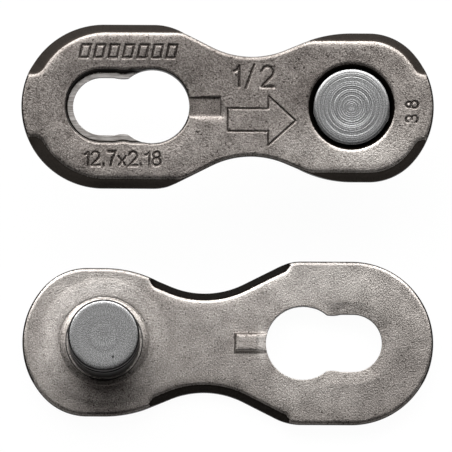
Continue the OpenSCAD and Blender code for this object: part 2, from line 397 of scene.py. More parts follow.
def mark_share(x, y):
    """Distance to the nearest stroke of the marks as a share of its groove's half width."""
    best = np.full(np.shape(x), 9.0)
    for stroke, half in MARKS:
        low, high = stroke.min(0) - 0.15, stroke.max(0) + 0.15
        near = np.flatnonzero((x > low[0]) & (x < high[0]) & (y > low[1]) & (y < high[1]))
        if not len(near):
            continue
        px, py = x[near], y[near]
        for p, q in zip(stroke[:-1], stroke[1:]):
            d = q - p
            t = np.clip(((px - p[0]) * d[0] + (py - p[1]) * d[1]) / (d @ d), 0, 1)
            gap = np.hypot(px - p[0] - t * d[0], py - p[1] - t * d[1]) / half
            best[near] = np.minimum(best[near], gap)
    return best


# Heights of the two sides. Outer face at THICK, inner face at 0.
seat_wall = profile([(-99, SEAT_DEPTH), (-1, SEAT_DEPTH), (-0.75, SEAT_DEPTH - 0.05), (0, 0.18)])
# Rim of the drawn-in edge round the pin, and foot of the collar.
DRAW_R = PRESS_R + 0.225
COLLAR_R = 2.28
draw_in = profile([(0, 0.30), (PRESS_R, 0.30), (DRAW_R - 0.10, 0.15), (DRAW_R - 0.04, 0.085),
                   (DRAW_R, 0.045), (DRAW_R + 0.04, 0.022), (DRAW_R + 0.09, 0.008),
                   (DRAW_R + 0.16, 0), (99, 0)])
collar = profile([(0, COLLAR_H - 0.02), (PRESS_R - 0.01, COLLAR_H - 0.02), (PRESS_R + 0.02, COLLAR_H),
                  (PRESS_R + 0.06, COLLAR_H), (PRESS_R + 0.10, COLLAR_H - 0.012),
                  (COLLAR_R - 0.08, 0.05), (COLLAR_R - 0.04, 0.03), (COLLAR_R - 0.01, -0.014),
                  (COLLAR_R + 0.015, -0.014), (COLLAR_R + 0.045, -0.003), (COLLAR_R + 0.09, 0), (99, 0)])
channel_wall = profile([(-0.04, 1.0), (-0.022, 0.93), (-0.004, 0.0)])
tab_wall = profile([(-0.22, 1.0), (-0.14, 0.97), (-0.07, 0.86), (-0.03, 0.62), (0.005, 0.06), (0.03, 0.0)])
# Width and depth of rounded lips.
SEAT_LIP = (0.15, 0.15)
LOBE_LIP = (0.14, 0.09)
TAB_LIP = (0.42, 0.085)
CHANNEL_DEPTH = TAB_PUSH - 0.03
FUNNEL_W = 0.64


def seat_lean(y):
    """Width in plan of the seat's leaning wall: wider towards +Y."""
    return 0.05 + 0.07 * np.clip(y / 1.3, 0, 1)


def in_wall(seat, y):
    """True for the seat's wall and its foot, which are painted black as the shade in the seat."""
    return (seat < -0.001) & (seat > -0.095 - 0.025 * np.clip(y / 1.3, 0, 1))


def roll(depth, wide, amount):
    """Gentle roll of a face towards a chamfer, from the chamfer's depth."""
    return amount * np.clip(1 + depth / wide, 0, 1) ** 2


def edge_roll(x, y, chamfer, wide, deep):
    """Rounding of the outline's edge, which is only slight on a chamfer."""
    d = edge_distance(x, y)
    plain = np.clip(1 - chamfer / 0.12, 0, 1)
    return plain * rounding(d, wide, deep) + (1 - plain) * rounding(d, 0.04)


def outer_height(x, y):
    """Outer side: the face, less its chamfers, its rounded edges, the sunk seat with its rounded
    lip (sharper at the seat's tip), the channel that the tab leaves (its lip softer towards -Y),
    the drawn-in edge round the pin and the marks."""
    seat = seat_distance(x, y)
    chamfer = outer_chamfer(x, y)
    drop = soft_max(0.0, chamfer, 0.15) + roll(chamfer, 0.42, 0.024)
    drop = drop + edge_roll(x, y, chamfer, 0.20, 0.14) + draw_in(pin_distance(x, y))
    share = np.clip((x - NARROW_X + 1.9) / 1.4, 0, 1)
    lip = rounding(seat, 0.05 + (SEAT_LIP[0] - 0.05) * share, SEAT_LIP[1])
    lip = lip + 0.03 * np.exp(-(np.maximum(seat, 0) / 0.55) ** 2)
    drop = drop + np.where(seat < 0, seat_wall(seat / seat_lean(y)), lip)
    drop = drop + rounding(keyhole_distance(x, y), *LOBE_LIP) * (seat >= 0)
    channel = tab_distance(x, y)
    soft = np.clip(0.5 - y / 0.6, 0, 1)
    deep = 0.02 + (TAB_LIP[1] - 0.02) * soft
    wide = 0.10 + (TAB_LIP[0] - 0.10) * soft
    wall = deep + (CHANNEL_DEPTH - deep) * channel_wall(channel)
    drop = np.maximum(drop, np.where(channel < -0.004, wall, rounding(channel, wide, deep)))
    return THICK - drop - GROOVE_DEPTH * groove(mark_share(x, y))


def inner_height(x, y):
    """Inner side: the chamfers along the waist, edges rolled a little wider towards -Y, the
    collar, the raised tab with its slope, a shallow funnel round the narrow lobe and a slight
    step round the collar."""
    lobe = keyhole_distance(x, y)
    chamfer = inner_chamfer(x, y)
    rise = soft_max(0.0, chamfer, 0.11) + roll(chamfer, 0.45, 0.02)
    rise = rise + edge_roll(x, y, chamfer, 0.21 - 0.006 * y, 0.15)
    rise = rise + rounding(lobe, 0.03)
    narrow = np.clip((HUMP_X + 0.9 - x) / 0.9, 0, 1)
    rise = rise + 0.03 * narrow * np.clip(1 - np.maximum(lobe, 0) / FUNNEL_W, 0, 1)
    tab = tab_distance(x, y)
    top = TAB_PUSH * np.clip(0.25 + 0.75 * (x - WIDE_X - WIDE_R) / TAB_SLOPE, 0.25, 1)
    around = pin_distance(x, y)
    step = 0.010 * np.clip((3.3 - around) / 0.25, 0, 1)
    return rise - top * tab_wall(tab) - collar(around) - step


# Tone of the finishes, from 0 for dark to 1 for bright: soft spots on a slow slope. Much of it is painted
# light and shade, which stands in for the light's fall over the plates.
def spots(x, y, table):
    """Sum of soft round spots: place, half widths in X and Y, and amount."""
    total = np.zeros(np.shape(x))
    for cx, cy, wx, wy, amount in table:
        total = total + amount * np.exp(-((x - cx) / wx) ** 2 - ((y - cy) / wy) ** 2)
    return total


# Painted light and shade on the outer face: soft spots for the light's fall over the plate, brightest
# below the pin.
OUTER_PAINTED_LIGHT_SPOTS = [(7.2, -2.3, 2.4, 1.4, 0.26), (3.8, -1.9, 1.4, 1.2, 0.08), (9.4, 0.4, 1.4, 2.6, 0.05),
               (-10.0, -1.2, 1.3, 1.4, -0.05), (-6.4, -2.7, 2.4, 0.9, -0.08), (-1.0, 1.7, 1.8, 1.4, -0.07),
               (4.1, 0.7, 0.9, 1.4, -0.09), (6.5, 3.1, 3.0, 0.5, 0.04)]
# Painted light and shade on the inner face: soft spots for the light's fall over the plate, the pin's
# painted shadow below it at (PIN_X, -2.15) and (6.4, -3.0), and a painted highlight on the tab's slope in
# the last spot.
INNER_PAINTED_LIGHT_SPOTS = [(9.0, 1.6, 1.5, 1.8, 0.03), (3.7, 2.2, 1.2, 1.2, -0.10), (3.2, -2.0, 1.2, 1.0, 0.10),
               (9.0, -2.0, 1.2, 1.6, 0.10), (6.4, 3.0, 1.7, 0.8, 0.10), (-3.0, -2.2, 1.2, 1.2, 0.09),
               (-2.9, 1.9, 0.8, 0.8, 0.06), (-5.0, -2.4, 2.6, 1.2, 0.11), (-4.5, 3.3, 3.0, 1.0, 0.08),
               (6.4, -3.0, 1.3, 0.9, -0.05), (PIN_X, -2.15, 1.5, 0.45, -0.24),
               (-8.2, -0.6, 1.0, 1.6, -0.05), (WIDE_X + WIDE_R + 0.22, 0.0, 0.25, 0.8, 0.35)]


def outer_tone(x, y):
    """Outer face: dull from tumbling, with painted light and shade: a slope darker towards +Y, spots
    brightest below the pin and painted highlights on the rims towards +Y. The channel's floor has an
    even darker tone. The grooves of the marks, the coined chamfers, the seat's wall and the drawn-in
    edge are darkened as painted shade, the last two to black."""
    chamfer = outer_chamfer(x, y)
    # Painted light: a slope darker towards +Y, and the spots.
    tone = 0.33 - 0.008 * y + spots(x, y, OUTER_PAINTED_LIGHT_SPOTS)
    # Painted highlight on the edges and the chamfers' inner edges towards +Y.
    painted_rim_highlight = 0.15 * np.exp(-((chamfer + 0.05) / 0.09) ** 2)
    painted_rim_highlight = painted_rim_highlight + 0.15 * np.clip(1 - edge_distance(x, y) / 0.22, 0, 1)
    tone = tone + painted_rim_highlight * np.clip((y - 2.3) / 1.4, 0, 1)
    tone = np.where(tab_distance(x, y) < -0.03, 0.24, tone)
    # Painted shade in the grooves of the marks.
    tone = tone - 0.22 * (mark_share(x, y) < 0.9)
    # The chamfers are darkened as painted shade, more so towards -Y, with a painted highlight along their
    # inner edge there.
    lower = np.where(x < 0, -0.02, -0.09) + 0.3 * np.exp(-((chamfer - 0.02) / 0.10) ** 2)
    tone = np.where(chamfer > 0.02, 0.38 + (y < 0) * lower, tone)
    seat = seat_distance(x, y)
    # The seat's wall and foot are painted black as shade, and its ledge is painted lighter towards +Y.
    tone = np.where(seat < -0.001, np.where(in_wall(seat, y), 0.0, 0.62 + 0.04 * y), tone)
    # The drawn-in edge round the pin is painted black as the shade in its crease.
    return np.where(pin_distance(x, y) < DRAW_R + 0.02, 0.0, tone)


def inner_tone(x, y):
    """Inner face, with painted light and shade: brighter towards +Y, spots, a painted highlight in a ring
    round the collar, painted highlights on the rims towards +Y and painted shade along the tab's edge
    towards +Y. The chamfers along the waist are painted nearly black as shade."""
    around = pin_distance(x, y)
    # Painted highlight: a bright ring round the collar, stronger towards +X and +Y.
    turn = 0.7 + 0.3 * (x - PIN_X + y) / np.maximum(around, 1)
    ring = 0.13 * turn * np.exp(-((around - 2.75) / 0.42) ** 2)
    chamfer = inner_chamfer(x, y)
    # Painted light: a slope brighter towards +Y, and the spots.
    tone = 0.46 + 0.030 * y + ring + spots(x, y, INNER_PAINTED_LIGHT_SPOTS)
    # Painted highlight on the edges and the chamfers' inner edges towards +Y.
    painted_rim_highlight = 0.14 * np.exp(-((chamfer + 0.05) / 0.10) ** 2)
    painted_rim_highlight = painted_rim_highlight + 0.08 * np.clip(1 - edge_distance(x, y) / 0.25, 0, 1)
    tone = tone + painted_rim_highlight * np.clip((y - 0.8) / 1.2, 0, 1)
    tab = tab_distance(x, y)
    # Painted shade along the tab's edge towards +Y.
    tone = tone - 0.16 * (np.abs(tab + 0.06) < 0.1) * (y > 0.2)
    # The chamfers are painted nearly black as shade.
    return np.where(chamfer > 0.02, 0.05, tone)


# Mesh of a side: plan points in rows along every feature, joined in a constrained triangulation.
class Plan:
    """Plan points in order of rank. A later point too near an earlier one is left out, which is
    looked up in a raster of small square cells."""
    CELL = 0.01
    CORNER = (-11.0, -4.6)
    COUNT = (2200, 920)

    def __init__(self):
        self.taken = np.zeros(self.COUNT, bool)
        self.points = []

    def cells(self, p, di=0, dj=0):
        """Cells of points, or those a few cells beside them."""
        i, j = ((p - self.CORNER) / self.CELL).astype(int).T
        return np.clip(i + di, 0, self.COUNT[0] - 1), np.clip(j + dj, 0, self.COUNT[1] - 1)

    def add(self, p, clear, always=False):
        """Adds the points whose cells are free, or all of them, and then takes up the cells of a
        disc of radius clear round each."""
        reach = int(np.ceil(clear / self.CELL))
        p = p if always else p[~self.taken[self.cells(p)]]
        for di in range(-reach, reach + 1):
            for dj in range(-reach, reach + 1):
                if di * di + dj * dj <= (clear / self.CELL) ** 2:
                    self.taken[self.cells(p, di, dj)] = True
        self.points.append(p)


def inside_plate(p, margin):
    """True where a plan point lies in the steel, by at least a margin."""
    x, y = p[:, 0], p[:, 1]
    return ((edge_distance(x, y) > margin) & (keyhole_distance(x, y) > margin)
            & (press_distance(x, y) > margin))


def rows_beside(loop, offsets, distance, plan, clear):
    """Rows that follow a loop at distances into the steel, left out where they would cross."""
    points, normals = loop
    for offset in offsets:
        p = points - normals * offset
        ok = np.abs(distance(*p.T) - offset) < 0.004 + 0.02 * abs(offset)
        plan.add(p[ok & inside_plate(p, 0.006)], clear)


def stroke_rows(plan):
    """Rows on both sides of each stroke of the marks, at shares of its groove's half width."""
    for stroke, half in MARKS:
        base, side = [], []
        for p, q in zip(stroke[:-1], stroke[1:]):
            rows = line_rows(p, q, 0.05)
            base.append(rows[0])
            side.append(rows[1])
        base = np.concatenate(base + [stroke[-1:]])
        side = np.concatenate(side + [side[-1][-1:]])
        for share in (0.0, 0.3, -0.3, 0.65, -0.65, 0.95, -0.95, 1.15, -1.15, 2.0, -2.0):
            p = base + side * share * half
            ok = np.abs(mark_share(*p.T) - abs(share)) < 0.08
            plan.add(p[ok & inside_plate(p, 0.02)], 0.013)


def lattice(step):
    """Points of a triangular lattice over the plate's box."""
    x, y = np.meshgrid(np.arange(-10.6, 10.6, step), np.arange(-4.2, 4.2, step * 0.866))
    x = x + (np.arange(len(x)) % 2)[:, None] * step / 2
    return np.stack([x.ravel(), y.ravel()], 1)


def thin_out(p, step):
    """One point for each cell of a square lattice."""
    return p[np.unique(np.round(p / step).astype(int), axis=0, return_index=True)[1]]


def chamfer_rows(chamfer, plan):
    """Rows on both sides of a chamfer's inner edge, found by moving along the chamfer's slope."""
    h = 0.001
    fine = lattice(0.03)
    fine = fine[(np.abs(chamfer(*fine.T)) < 0.2) & inside_plate(fine, 0.02)]
    for level in (-0.12, -0.08, -0.04, 0.0, 0.04, 0.09, 0.14):
        p = fine
        for _ in range(4):
            x, y = p.T
            slope = np.stack([chamfer(x + h, y) - chamfer(x - h, y),
                              chamfer(x, y + h) - chamfer(x, y - h)], 1) / (2 * h)
            size = np.maximum((slope ** 2).sum(1), 0.2)
            p = p - slope * ((chamfer(x, y) - level) / size)[:, None]
        p = p[(np.abs(chamfer(*p.T) - level) < 0.002) & inside_plate(p, 0.015)]
        plan.add(thin_out(p, 0.05), 0.012)


def tab_rows(offsets, plan):
    """Rows round the three sides of the tab at distances from its wall."""
    rows = []
    for o in offsets:
        x1 = TAB_END_X + o
        half = TAB_W / 2 + o
        xs = np.arange(WIDE_X + WIDE_R - 0.1, x1, 0.05)
        ys = np.arange(-half, half, 0.05)
        rows += [np.stack([xs, np.full_like(xs, half)], 1),
                 np.stack([xs, np.full_like(xs, -half)], 1),
                 np.stack([np.full_like(ys, x1), ys], 1)]
    rows = np.concatenate(rows)
    plan.add(rows[inside_plate(rows, 0.01)], 0.006)


OUTLINE = outline_loop(0.06)
KEYHOLE = keyhole_loop(0.0, 0.05)
SEAT = keyhole_loop(LEDGE_W, 0.05)
PIN_HOLE = arc_rows([PIN_X, 0], PRESS_R, 180, -180, 0.055, -1.0)
LOOPS = [OUTLINE, KEYHOLE, PIN_HOLE]

# Rows beside the loops of each side: loop, distances, their measure, and room kept round points.
EDGE_ROWS = (OUTLINE, (0.005, 0.014, 0.028, 0.048, 0.075, 0.11, 0.16, 0.22, 0.30, 0.40),
             edge_distance, 0.004)
OUTER_ROWS = [
    EDGE_ROWS,
    (KEYHOLE, (0.005, 0.014, 0.03, 0.055, 0.09, 0.14), keyhole_distance, 0.006),
    (SEAT, (-0.16, -0.12, -0.09, -0.07, -0.053, -0.03, -0.001, 0.006, 0.02, 0.045, 0.08, 0.12,
            0.17, 0.26, 0.38), seat_distance, 0.004),
    (PIN_HOLE, (0.08, 0.16, 0.19, 0.22, 0.26, 0.30, 0.35, 0.42, 0.5), press_distance, 0.02),
]
INNER_ROWS = [
    EDGE_ROWS,
    (KEYHOLE, (0.01, 0.03, 0.07, 0.15, 0.3, 0.45, 0.61, 0.64, 0.67), keyhole_distance, 0.008),
    (PIN_HOLE, (0.02, 0.06, 0.10, 0.16, 0.25, 0.29, 0.32, 0.345, 0.375, 0.42, 0.55, 1.21, 1.33),
     press_distance, 0.02),
]
CHANNEL_WALL_ROWS = (-0.04, -0.022, -0.004, 0.003, 0.012, 0.03, 0.06, 0.1, 0.16)
TAB_WALL_ROWS = (-0.22, -0.14, -0.07, -0.03, 0.005, 0.03)


def triangulate(plan_points):
    """Triangles of the steel over plan points whose first ones are the three loops."""
    edges = []
    first = 0
    for points, _ in LOOPS:
        n = len(points)
        ring = np.arange(first, first + n)
        edges.append(np.stack([ring, np.roll(ring, -1)], 1))
        first += n
    done = delaunay_2d_cdt([Vector(p) for p in plan_points.tolist()],
                           np.concatenate(edges).tolist(), [], 0, 1e-7)
    flat = np.array([tuple(v) for v in done[0]])
    tris = np.array(done[2])
    source = np.array([o[0] if o else -1 for o in done[3]])
    mid = flat[tris].mean(1)
    ok = inside_plate(mid, -1e-5)
    place = np.full(len(plan_points), -1)
    place[source[source >= 0]] = np.flatnonzero(source >= 0)
    return flat, tris[ok], place


def slope_normals(height, x, y, up):
    """Normals of a height field from its slope over 0.006 mm."""
    h = 0.003
    dx = (height(x + h, y) - height(x - h, y)) / (2 * h)
    dy = (height(x, y + h) - height(x, y - h)) / (2 * h)
    n = np.stack([-dx, -dy, np.ones_like(dx)], 1) * up
    return n / np.linalg.norm(n, axis=1, keepdims=True)


def side_mesh(outer):
    """One side of the plate: points, normals, triangles and the places of the three loops."""
    plan = Plan()
    for points, _ in LOOPS:
        plan.add(points, 0.008, always=True)
    for loop, offsets, distance, clear in OUTER_ROWS if outer else INNER_ROWS:
        rows_beside(loop, offsets, distance, plan, clear)
    chamfer_rows(outer_chamfer if outer else inner_chamfer, plan)
    tab_rows(CHANNEL_WALL_ROWS if outer else TAB_WALL_ROWS, plan)
    if outer:
        stroke_rows(plan)
    even = lattice(0.11 if outer else 0.14)
    plan.add(even[inside_plate(even, 0.03)], 0.01)
    flat, tris, place = triangulate(np.concatenate(plan.points))
    height = outer_height if outer else inner_height
    x, y = flat.T
    normals = slope_normals(height, x, y, 1.0 if outer else -1.0)
    rings = []
    first = 0
    for loop_points, loop_normals in LOOPS:
        ring = place[first:first + len(loop_points)]
        rings.append(ring)
        normals[ring] = np.concatenate([loop_normals, np.zeros((len(ring), 1))], 1)
        first += len(loop_points)
    return np.stack([x, y, height(x, y)], 1), normals, (tris if outer else tris[:, ::-1]), rings


# Places of the plate's finishes in its list of materials.
FACE, COINED, LEDGE, SHEARED = range(4)
# A triangle whose normal is lower than this is steep and has the dark sheared finish. The limit can
# be set lower for a triangle that looks towards +Y and is higher near the outline for one that looks
# along X, so that rounded edges that look along X or towards -Y turn dark as painted shade while
# those towards +Y on the outer side keep the face's finish.
STEEP = 0.72
STEEP_SIDEWAYS = 0.88
STEEP_OUTER_PLUS_Y = 0.35


def steep_below(facing, x, y, towards):
    """Limit of the normal's height: STEEP, or the value towards for a triangle that looks
    towards +Y. Near the outline one that looks rather along X has STEEP_SIDEWAYS."""
    way = facing[:, 1] / np.maximum(np.hypot(facing[:, 0], facing[:, 1]), 1e-6)
    share = np.clip((way - 0.5) / 0.35, 0, 1)
    sideways = STEEP_SIDEWAYS - (STEEP_SIDEWAYS - towards) * share
    edge = (edge_distance(x, y) < 0.3) & (way > -0.5)
    return np.where(edge, sideways, np.where(way > 0.7, towards, STEEP))


# Rows of quads in the walls between the two sides.
WALL_STEPS = 5


def plate_mesh():
    """The whole plate as one closed surface: outer side, inner side and the walls of the three
    loops between them, as straight rows of quads. Returns points, normals, faces, finishes and
    tones."""
    top, top_n, top_t, top_rings = side_mesh(True)
    low, low_n, low_t, low_rings = side_mesh(False)
    points, normals = [top, low], [top_n, low_n]
    tones = [outer_tone(top[:, 0], top[:, 1]), inner_tone(low[:, 0], low[:, 1])]
    tris = [top_t, low_t + len(top)]
    mid = top[top_t].mean(1)
    x, y = mid[:, 0], mid[:, 1]
    facing = top_n[top_t].mean(1)
    steep = facing[:, 2] < steep_below(facing, x, y, STEEP_OUTER_PLUS_Y)
    channel = tab_distance(x, y) < 0
    seat = seat_distance(x, y)
    # The drawn-in edge and the seat's wall take the dark coined finish, which there is painted shade.
    coined = (outer_chamfer(x, y) > 0) | (pin_distance(x, y) < DRAW_R + 0.02) | (seat < 0)
    kind = np.where(coined, COINED, np.where(steep & ~channel, SHEARED, FACE))
    kind = np.where((seat < -0.09) & ~in_wall(seat, y) & (keyhole_distance(x, y) > 0), LEDGE, kind)
    mid = low[low_t].mean(1)
    x, y = mid[:, 0], mid[:, 1]
    chamfer = (inner_chamfer(x, y) > 0.02) & (edge_distance(x, y) > 0.03)
    facing = low_n[low_t].mean(1)
    steep = (-facing[:, 2] < steep_below(facing, x, y, STEEP)) & (tab_distance(x, y) > 0.1)
    kinds = [kind, np.where(chamfer, COINED, np.where(steep, SHEARED, FACE))]
    quads = []
    count = len(top) + len(low)
    for number, (_, loop_normals) in enumerate(LOOPS):
        a, b = top[top_rings[number]], low[low_rings[number]]
        rings = [top_rings[number]]
        flat_n = np.concatenate([loop_normals, np.zeros((len(a), 1))], 1)
        for k in range(1, WALL_STEPS):
            t = k / WALL_STEPS
            points.append(a * (1 - t) + b * t)
            normals.append(flat_n)
            tones.append(np.full(len(a), 0.3))
            rings.append(count + np.arange(len(a)))
            count += len(a)
        rings.append(low_rings[number] + len(top))
        for r0, r1 in zip(rings[:-1], rings[1:]):
            quad = np.stack([r0, np.roll(r0, -1), np.roll(r1, -1), r1], 1)
            quads.append(quad if number == 0 else quad[:, ::-1])
    quads = np.concatenate(quads)
    kinds.append(np.full(len(quads), SHEARED))
    return (np.concatenate(points), np.concatenate(normals), np.concatenate(tris), quads,
            np.concatenate(kinds), np.concatenate(tones))


# Turn and move of each half in mm: the upper one stands on its pin's tip, and the lower one is
# turned over about the Y axis and lies on its outer face.
UPPER = ([1.0, 1.0, 1.0], [-STAGGER / 2, SPREAD / 2, -TIP_Z])
LOWER = ([-1.0, 1.0, -1.0], [STAGGER / 2, -SPREAD / 2, THICK])


def put_mesh(name, half, points, normals, tris, quads, kinds, materials, node, tones, uv=None):
    """Makes a mesh object of a half from whole arrays, in place of a CAD node, with its own
    normals, the tones of its points and, if given for them, a UV map."""
    turn, move = half
    mesh = bpy.data.meshes.new(name)
    nt, nq = len(tris), len(quads)
    mesh.vertices.add(len(points))
    mesh.vertices.foreach_set("co", ((points * turn + move) * MM).astype(np.float32).ravel())
    mesh.loops.add(3 * nt + 4 * nq)
    mesh.loops.foreach_set("vertex_index", np.concatenate([tris.ravel(), quads.ravel()]).astype(np.int32))
    mesh.polygons.add(nt + nq)
    starts = np.concatenate([np.arange(nt) * 3, 3 * nt + np.arange(nq) * 4]).astype(np.int32)
    mesh.polygons.foreach_set("loop_start", starts)
    for material in materials:
        mesh.materials.append(material)
    mesh.polygons.foreach_set("material_index", kinds.astype(np.int32))
    mesh.update(calc_edges=True)
    mesh.validate()
    mesh.polygons.foreach_set("use_smooth", np.ones(len(mesh.polygons), bool))
    mesh.normals_split_custom_set_from_vertices((normals * turn).tolist())
    layer = mesh.attributes.new("tone", "FLOAT", "POINT")
    layer.data.foreach_set("value", tones.astype(np.float32))
    if uv is not None:
        corners = np.empty(len(mesh.loops), np.int32)
        mesh.loops.foreach_get("vertex_index", corners)
        layer = mesh.uv_layers.new(name="turning")
        layer.data.foreach_set("uv", uv[corners].astype(np.float32).ravel())
    piece = bpy.data.objects.new(name, mesh)
    bpy.context.scene.collection.objects.link(piece)
    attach(piece, "root")
    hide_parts(node)


# Materials.
def colour(hex_value):
    """An sRGB hex colour as linear RGBA."""
    c = [int(hex_value[i:i + 2], 16) / 255 for i in (1, 3, 5)]
    return [v / 12.92 if v <= 0.04045 else ((v + 0.055) / 1.055) ** 2.4 for v in c] + [1.0]


def add(tree, kind, links=(), **settings):
    """Adds one node, with its settings, and links or sets its inputs."""
    node = tree.nodes.new(kind)
    for key, value in settings.items():
        setattr(node, key, value)
    for socket, source in links:
        if isinstance(source, bpy.types.NodeSocket):
            tree.links.new(source, node.inputs[socket])
        else:
            node.inputs[socket].default_value = source
    return node


def start_material(name, base, roughness):
    """A new material with its shader's constants set. Returns its tree and shader too."""
    material = bpy.data.materials.new(name)
    material.use_nodes = True
    tree = material.node_tree
    shader = tree.nodes["Principled BSDF"]
    shader.inputs["Base Color"].default_value = colour(base)
    shader.inputs["Roughness"].default_value = roughness
    return material, tree, shader


def steel(name, base, roughness):
    """A metal material. Returns its tree, shader and Object coordinates too."""
    material, tree, shader = start_material(name, base, roughness)
    shader.inputs["Metallic"].default_value = 1.0
    return material, tree, shader, add(tree, "ShaderNodeTexCoord").outputs["Object"]


def tint(tree, shader, source, stops):
    """Colours a shader by a ramp over a factor, from pairs of position and hex colour."""
    node = add(tree, "ShaderNodeValToRGB", [("Fac", source)])
    while len(node.color_ramp.elements) < len(stops):
        node.color_ramp.elements.new(0.5)
    for element, (at, value) in zip(node.color_ramp.elements, stops):
        element.position = at
        element.color = colour(value)
    tree.links.new(node.outputs["Color"], shader.inputs["Base Color"])


def maths(tree, operation, *values):
    """Result of one operation on numbers or sockets."""
    return add(tree, "ShaderNodeMath", enumerate(values), operation=operation).outputs[0]


def mapped(tree, value, low, high, to_low, to_high):
    """A value mapped from one range to another and kept within it."""
    return add(tree, "ShaderNodeMapRange", [("Value", value), ("From Min", low), ("From Max", high),
                                            ("To Min", to_low), ("To Max", to_high)]).outputs["Result"]


def stretched(tree, place, scale):
    """Coordinates scaled by their own factor on each axis: a small one stretches a pattern."""
    return add(tree, "ShaderNodeMapping", [("Vector", place), ("Scale", scale)]).outputs["Vector"]


def mixed(tree, share, a, b):
    """Mix of two values by the second one's share."""
    return add(tree, "ShaderNodeMix", [("Factor", share), (2, a), (3, b)], data_type="FLOAT").outputs[0]


def noise(tree, place, size_mm, detail, rough=0.6, unit=MM):
    """Noise whose features are about a size in mm, on coordinates in metres or another unit."""
    node = add(tree, "ShaderNodeTexNoise", [("Vector", place), ("Scale", 1.0 / (size_mm * unit)),
                                            ("Detail", detail), ("Roughness", rough)])
    return node.outputs["Fac"]


def turning_rings(tree, waver, size_mm, detail):
    """Noise in rings about the pin's axis, on the UV map that holds the radius in mm and the sine
    of the angle, by which the rings waver."""
    turning = add(tree, "ShaderNodeUVMap", uv_map="turning").outputs["UV"]
    return noise(tree, stretched(tree, turning, (1.0, waver, 1.0)), size_mm, detail, unit=1.0)


def bump(tree, shader, height, depth_mm, strength, normal=None):
    """Bump of a real depth from a height between 0 and 1, on top of another one if given."""
    links = [("Height", height), ("Strength", strength), ("Distance", depth_mm * MM)]
    if normal is not None:
        links.append(("Normal", normal))
    node = add(tree, "ShaderNodeBump", links)
    tree.links.new(node.outputs["Normal"], shader.inputs["Normal"])
    return node.outputs["Normal"]


def toned(tree, parts):
    """Sum of the tone attribute and noises that are centred on nought and given an amount."""
    total = add(tree, "ShaderNodeAttribute", attribute_name="tone").outputs["Fac"]
    for source, amount in parts:
        total = maths(tree, "MULTIPLY_ADD", maths(tree, "SUBTRACT", source, 0.5), amount, total)
    return total


def tumbled_nickel():
    """Nickel plated steel sheet, deburred in a tumbler: a satin grey with a fine grain, in clouds
    of lighter and darker metal."""
    material, tree, shader, place = steel("tumbled_nickel_plate", "#8c8681", 0.38)
    grain = noise(tree, place, 0.075, 4.0, 0.7)
    cloud = noise(tree, place, 1.1, 3.0, 0.55)
    pits = mapped(tree, noise(tree, place, 0.15, 1.0, 0.5), 0.24, 0.36, 0.0, 0.5)
    tint(tree, shader, toned(tree, [(grain, 1.0), (cloud, 0.24), (pits, 0.45)]),
         [(0.0, "#35302d"), (0.25, "#68625e"), (0.5, "#9b9590"), (0.75, "#cac4bf"), (1.0, "#f0ebe7")])
    tree.links.new(mapped(tree, cloud, 0.3, 0.7, 0.34, 0.42), shader.inputs["Roughness"])
    first = bump(tree, shader, cloud, 0.02, 0.6)
    bump(tree, shader, grain, 0.018, 1.0, first)
    return material


def coined_steel():
    """Coined chamfers with a fine grain, painted darker than the face as shade."""
    material, tree, shader, place = steel("coined_chamfer", "#38332f", 0.45)
    grain = noise(tree, place, 0.08, 2.0)
    tint(tree, shader, toned(tree, [(grain, 0.5)]), [(0.0, "#120f0c"), (0.5, "#38332f"), (1.0, "#5c5650")])
    bump(tree, shader, grain, 0.004, 0.7)
    return material


def machined_ledge():
    """The seat's floor, shaved flat by a cutter that ran along X: fine straight streaks."""
    material, tree, shader, place = steel("shaved_ledge", "#96918d", 0.38)
    streak = noise(tree, stretched(tree, place, (0.08, 1.0, 1.0)), 0.045, 2.0)
    tint(tree, shader, toned(tree, [(streak, 0.95)]),
         [(0.2, "#57534f"), (0.5, "#96918d"), (0.8, "#cbc7c4")])
    bump(tree, shader, streak, 0.005, 0.7)
    return material


def sheared_wall():
    """The blanked edge of the sheet: dark, with upright shear lines. On the steep rounded edges of the
    faces its darkness is painted shade.
    """
    material, tree, shader, place = steel("sheared_edge", "#181412", 0.5)
    lines = noise(tree, stretched(tree, place, (1.0, 1.0, 0.1)), 0.06, 2.0)
    tint(tree, shader, lines, [(0.3, "#0e0b0a"), (0.7, "#241f1c")])
    bump(tree, shader, lines, 0.006, 0.8)
    return material


PLATE_FINISHES = [tumbled_nickel(), coined_steel(), machined_ledge(), sheared_wall()]

points, normals, tris, quads, kinds, tones = plate_mesh()
for name, half, node in (("plate_outer_face_up", UPPER, "upper_plate"),
                         ("plate_inner_face_up", LOWER, "lower_plate")):
    put_mesh(name, half, points, normals, tris, quads, kinds, PLATE_FINISHES, node, tones)


# Pins.
def turned(table, around):
    """A profile of (radius, height) turned about the pin's axis. Its first and last points lie
    on the axis and become single poles. Normals come from the profile's own slope."""
    r, z = np.array(table).T
    a = np.linspace(0, 2 * np.pi, around, endpoint=False)
    ring = np.stack([np.cos(a), np.sin(a)], 1)
    dr, dz = np.gradient(r), np.gradient(z)
    size = np.hypot(dr, dz)
    count = len(r) - 2

    def rings(out, up):
        up = np.broadcast_to(up[1:-1, None, None], (count, around, 1))
        return np.concatenate([out[1:-1, None, None] * ring, up], 2).reshape(-1, 3)

    points = np.concatenate([rings(r, z), [[0, 0, z[0]], [0, 0, z[-1]]]])
    normals = np.concatenate([rings(dz / size, -dr / size), [[0, 0, -1.0], [0, 0, 1.0]]])
    rows = np.arange(count * around).reshape(-1, around)
    nxt = np.roll(rows, -1, 1)
    quads = np.stack([rows[:-1], nxt[:-1], nxt[1:], rows[1:]], -1).reshape(-1, 4)
    pole = np.full(around, count * around)
    tris = np.concatenate([np.stack([pole, nxt[0], rows[0]], 1),
                           np.stack([pole + 1, rows[-1], nxt[-1]], 1)])
    return points, normals, tris, quads


